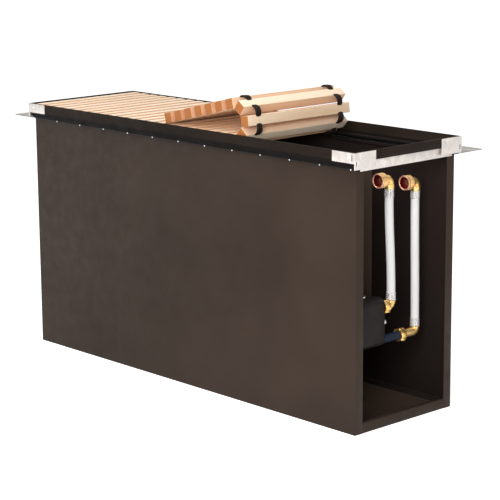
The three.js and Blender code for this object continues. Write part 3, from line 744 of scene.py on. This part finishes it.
def build_hose(name, points):
    curve = bpy.data.curves.new(f"{name}_riser", "CURVE")
    curve.dimensions = "3D"
    curve.bevel_depth, curve.bevel_resolution, curve.use_fill_caps = HOSE_RADIUS, 6, True
    spline = curve.splines.new("POLY")
    spline.points.add(len(points) - 1)
    for vertex, p in zip(spline.points, points):
        vertex.co = (*p, 1)
    curve.materials.append(finishes["hose"])
    hose = bpy.data.objects.new(f"{name}_riser", curve)
    bpy.context.scene.collection.objects.link(hose)
    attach(hose, "casing")
    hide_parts(f"{name}_hose")
    return hose


def build_crimp(end):
    """A ferrule with three pressed grooves."""
    low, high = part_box(f"{end}_ferrule")
    centre, length, radius = (low + high) / 2, high.z - low.z, (high.y - low.y) / 2
    edge = 0.7 * MM
    profile = [(radius * 0.93, 0), (radius, edge)]
    for share in (0.25, 0.5, 0.75):
        profile += [(radius, length * (share - 0.07)), (radius * 0.9, length * (share - 0.03)),
                    (radius * 0.9, length * (share + 0.03)), (radius, length * (share + 0.07))]
    profile += [(radius, length - edge), (radius * 0.93, length)]
    bm = lathe(bmesh.new(), (centre.x, centre.y, low.z), (0, 0, 1), profile, 36)
    return piece(f"{end}_crimp", bm, "casing", "ferrule", [f"{end}_ferrule"])


def build_union_nut(name, axis_z):
    """A knurled union nut: brass outside, a copper rim at its mouth and a red lining."""
    low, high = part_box(f"{name}_union_nut")
    outer, length = (high.z - low.z) / 2, high.y - low.y
    groove, knurl = outer - 0.5 * MM, 0.35 * MM

    def knurled(angle, radius):
        if radius <= outer - 0.2 * MM:
            return radius
        return radius - knurl * (0.5 + 0.5 * math.cos(KNURLS * angle))

    bm = lathe(bmesh.new(), (riser_x, low.y, axis_z), (0, 1, 0), [
        (UNION_BORE, 0.6 * MM), (UNION_BORE + 0.6 * MM, 0), (outer - 0.8 * MM, 0),
        (outer, 0.8 * MM), (outer, 3 * MM), (groove, 3.6 * MM), (groove, 5 * MM),
        (outer, 5.6 * MM), (outer, length - 1.5 * MM), (outer - 1.5 * MM, length),
        (UNION_NECK, length), (UNION_NECK, length - 3 * MM), (UNION_BORE, length - 3 * MM),
        (UNION_BORE, 0.6 * MM)], 72, knurled)
    nut = piece(f"{name}_swivel_nut", bm, f"{name}_nut", "brass", [f"{name}_union_nut"],
                material=nut_brass)
    nut.data.materials.append(red_lining)
    nut.data.materials.append(copper_rim)
    for face in nut.data.polygons:
        off_axis = math.hypot(face.center.x - riser_x, face.center.z - axis_z)
        if off_axis < UNION_BORE + 0.2 * MM and face.center.y < high.y - 2.9 * MM:
            face.material_index = 1
        elif face.center.y < low.y + 1.0 * MM:
            face.material_index = 2
    return nut


def build_seal(name, axis_z):
    low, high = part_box(f"{name}_union_washer")
    radius, thickness = (high.z - low.z) / 2, high.y - low.y
    hole, edge = 5.5 * MM, 0.3 * MM
    bm = lathe(bmesh.new(), (riser_x, low.y, axis_z), (0, 1, 0), [
        (hole, 0.2 * MM), (hole + 0.2 * MM, 0), (radius - edge, 0), (radius, edge),
        (radius, thickness), (hole, thickness), (hole, 0.2 * MM)], 40)
    return piece(f"{name}_seal", bm, "casing", "washer", [f"{name}_union_washer"])


def build_riser(name):
    """A hose with its ferrules, elbows, union nut and washer."""
    foot, head = middle(f"{name}_lower_ferrule"), middle(f"{name}_upper_ferrule")
    points = hose_route(name, foot, head)
    hose = build_hose(name, points)
    crimped = [build_crimp(f"{name}_{end}") for end in ("lower", "upper")]

    port = "upper" if name == "flow" else "lower"
    low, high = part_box(f"{port}_port_elbow")
    rings = elbow_rings(low.y, middle(f"{port}_port_nut").z, foot.y, high.z,
                        radius=7.9 * MM, corner=8 * MM)
    piece(f"{name}_lower_bend", skin(bmesh.new(), rings), "casing", "brass",
          [f"{port}_port_elbow"])

    low, axis_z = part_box(f"{name}_union_elbow")[0], middle(f"{name}_union_nut").z
    rings = elbow_rings(low.y, axis_z, head.y, low.z,
                        radius=8.2 * MM, corner=6.5 * MM, collar=10 * MM)
    upper = piece(f"{name}_upper_bend", skin(bmesh.new(), rings), "casing", "brass",
                  [f"{name}_union_elbow"])
    nut, seal = build_union_nut(name, axis_z), build_seal(name, axis_z)


# ---------- Fasteners and small details ----------
END_SCREW_Z = 488.5 * MM
SIDE_SLOT_Z, END_SLOT_Z = 488 * MM, 478 * MM
SLOT_WIDTH, SLOT_PROUD = 1.6 * MM, 0.12 * MM
RIVET_STEP = 74 * MM


def slotted_screw(name, origin, axis, radius, height, stands_for=()):
    """A low domed head with a straight slot."""
    axis = Vector(axis)
    dome = [(radius, 0)] + [
        (radius * math.cos(a), height * (0.3 + 0.7 * math.sin(a)))
        for a in (math.pi / 2 * j / 6 for j in range(6))] + [(radius * 0.06, height)]
    screw = piece(name, lathe(bmesh.new(), origin, axis, dome, 32), None, "chrome")
    turn = axis.to_track_quat("Z", "Y").to_matrix().to_4x4()
    slot = Matrix.LocRotScale(
        Vector((0, 0, height)), None, Vector((radius * 0.3, radius * 3, height * 0.9)))
    cutter = bmesh.new()
    bmesh.ops.create_cube(cutter, size=1, matrix=Matrix.Translation(Vector(origin)) @ turn @ slot)
    carve(screw, cutter)
    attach(screw, "casing")
    if stands_for:
        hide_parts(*stands_for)


def build_fasteners():
    for end in ("closed", "service"):
        for side, sign in SIDES.items():
            node = f"{side}_{end}_corner_screw"
            low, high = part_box(node)
            centre = (low + high) / 2
            start = (centre.x, low.y if sign > 0 else high.y, centre.z)
            slotted_screw(f"{side}_{end}_screw", start, (0, sign, 0), (high.z - low.z) / 2,
                          high.y - low.y, [node])
    for side, sign in SIDES.items():
        low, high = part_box(f"{side}_service_corner_bracket")
        corner = low.y if sign < 0 else high.y
        place = (high.x - 0.4 * MM, corner - sign * 15 * MM, END_SCREW_Z)
        slotted_screw(
            f"{side}_end_screw", place, (1, 0, 0), radius=3.2 * MM, height=0.6 * MM)
    build_slots()
    build_rivets()
    build_collector_plug()


def capsule(bm, centre, across, up, normal, height):
    """A flat shape with round ends, standing a hair proud of the face that it marks."""
    radius, straight = SLOT_WIDTH / 2, (height - SLOT_WIDTH) / 2
    outline = []
    for j in range(24):
        a = 2 * math.pi * j / 24
        lift = straight if math.sin(a) >= 0 else -straight
        outline.append(
            centre + across * (radius * math.cos(a)) + up * (radius * math.sin(a) + lift))
    inner = [centre + (p - centre) * 0.96 + normal * SLOT_PROUD for p in outline]
    return skin(bm, [outline, inner])


def build_slots():
    """Painted shadow: dark flat patches stand for the long adjusting slots in the legs of the brackets at the
    service end.
    """
    x, y, z = Vector((1, 0, 0)), Vector((0, 1, 0)), Vector((0, 0, 1))
    bm = bmesh.new()
    for side, sign in SIDES.items():
        low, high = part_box(f"{side}_service_corner_bracket")
        face = low.y if sign < 0 else high.y
        capsule(bm, Vector((high.x - 6 * MM, face, SIDE_SLOT_Z)), x, z, y * sign,
                height=11 * MM)
        capsule(bm, Vector((high.x, face - sign * 5 * MM, END_SLOT_Z)), y, z, x,
                height=9 * MM)
    piece("bracket_slots", bm, "casing", "rubber", smooth=False, material=slot_shadow)


def build_collector_plug():
    """A small chrome plug with a cross bar on top of the collector."""
    low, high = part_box("collector")
    place = Vector((high.x - 17 * MM, (low.y + high.y) / 2 + 2 * MM, high.z))
    # both profiles give the radius and the distance along the axis in mm
    plug = [(5, -0.5), (5, 2.4), (4.2, 3), (2.4, 3.2), (2.4, 5)]
    bar = [(1.1, 0), (1.8, 0.8), (1.5, 9), (1.5, 17), (1.8, 25.2), (1.1, 26)]
    bm = lathe(bmesh.new(), place, (0, 0, 1), [(r * MM, along * MM) for r, along in plug], 32)
    lathe(bm, place + Vector((0, -13 * MM, 4 * MM)), (0, 1, 0),
          [(r * MM, along * MM) for r, along in bar], 20)
    piece("collector_plug", bm, "casing", "chrome")


def build_rivets():
    """Small rivet heads along the outer edge of the near flange."""
    low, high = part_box("near_flange")
    bm = bmesh.new()
    first = high.x - 10 * MM
    head = [(1.6, -0.1), (1.5, 0.3), (1.1, 0.6), (0.2, 0.8)]  # radius and height in mm
    for k in range(int((first - low.x) / RIVET_STEP) + 1):
        lathe(bm, (first - k * RIVET_STEP, low.y, (low.z + high.z) / 2), (0, -1, 0),
              [(r * MM, along * MM) for r, along in head], 20)
    piece("flange_rivets", bm, "casing", "chrome")


# ---------- Finish of the solids that stay ----------
EDGES = {  # bevel width in mm by slot
    "galvanised": 0.35, "casing": 0.3, "rail": 0.35,
    "rubber": 0.2, "collector": 0.8, "chrome": 0.25}


def dress_solids():
    for part in frame["record"]["subparts"]:
        obj, slot = frame["nodes"][part["node"]], part["material_slot"]
        finish = dull_flange if part["node"].endswith("_flange") else finishes[slot]
        obj.data.materials.clear()
        obj.data.materials.append(finish)
        if obj.hide_render:
            continue
        obj.data.shade_smooth()
        weld = obj.modifiers.new("weld", "WELD")
        weld.merge_threshold = 0.01 * MM
        bevel = obj.modifiers.new("edges", "BEVEL")
        bevel.width = EDGES.get(slot, 0.3) * MM
        bevel.segments, bevel.limit_method, bevel.angle_limit = 2, "ANGLE", math.radians(40)
        bevel.harden_normals = True


# ---------- Studio ----------
SKY_LIGHT = 0.3  # the world as a light; it is 1, white, where the camera or a mirror sees it
FLOOR_GLOW = 0.8  # what the lit floor lacks to look white


def add_light(name, place, aim, size, power):
    data = bpy.data.lights.new(name, "AREA")
    data.shape, data.size, data.energy = "DISK", size, power
    light = bpy.data.objects.new(name, data)
    bpy.context.scene.collection.objects.link(light)
    light.location = place
    light.rotation_euler = (Vector(aim) - Vector(place)).to_track_quat("-Z", "Y").to_euler()


def seen_by_eye_or_mirror(nodes, links):
    """1 for camera, glossy and transmission rays, which see the white background."""
    path = nodes.new("ShaderNodeLightPath")
    seen = path.outputs["Is Camera Ray"]
    for ray in ("Is Glossy Ray", "Is Transmission Ray"):
        either = nodes.new("ShaderNodeMath")
        either.operation = "MAXIMUM"
        links.new(seen, either.inputs[0])
        links.new(path.outputs[ray], either.inputs[1])
        seen = either.outputs[0]
    return seen


def add_world():
    world = bpy.data.worlds.new("world")
    bpy.context.scene.world = world
    world.use_nodes = True
    nodes, links = world.node_tree.nodes, world.node_tree.links
    strength = nodes.new("ShaderNodeMapRange")
    strength.inputs["To Min"].default_value = SKY_LIGHT
    links.new(seen_by_eye_or_mirror(nodes, links), strength.inputs["Value"])
    nodes["Background"].inputs["Color"].default_value = (1, 1, 1, 1)
    links.new(strength.outputs["Result"], nodes["Background"].inputs["Strength"])


def add_floor():
    bm = bmesh.new()
    bmesh.ops.create_grid(bm, x_segments=2, y_segments=2, size=8)
    mesh = bpy.data.meshes.new("floor")
    bm.to_mesh(mesh)
    bm.free()
    floor = bpy.data.objects.new("floor", mesh)
    floor.location.z = -0.2 * MM
    bpy.context.scene.collection.objects.link(floor)
    material = bpy.data.materials.new("floor")
    material.use_nodes = True
    nodes, links = material.node_tree.nodes, material.node_tree.links
    shader = nodes["Principled BSDF"]
    shader.inputs["Base Color"].default_value = (0.9, 0.9, 0.9, 1)
    shader.inputs["Roughness"].default_value = 0.9
    shader.inputs["Emission Color"].default_value = (1, 1, 1, 1)
    glow = nodes.new("ShaderNodeMapRange")
    glow.inputs["To Max"].default_value = FLOOR_GLOW
    links.new(seen_by_eye_or_mirror(nodes, links), glow.inputs["Value"])
    links.new(glow.outputs["Result"], shader.inputs["Emission Strength"])
    mesh.materials.append(material)


def add_studio():
    add_world()
    add_floor()
    add_light("top", (0.0, -0.7, 2.4), aim=(0.0, 0, 0.4), size=1.6, power=29)
    add_light("front", (1.5, -1.6, 1.2), aim=(0.3, 0, 0.4), size=1.1, power=30)
    bpy.context.scene.view_settings.view_transform = "Standard"


add_camera()
build_risers()
build_grille()
build_exchanger()
build_fasteners()
dress_solids()
add_studio()

bpy.context.view_layer.update()
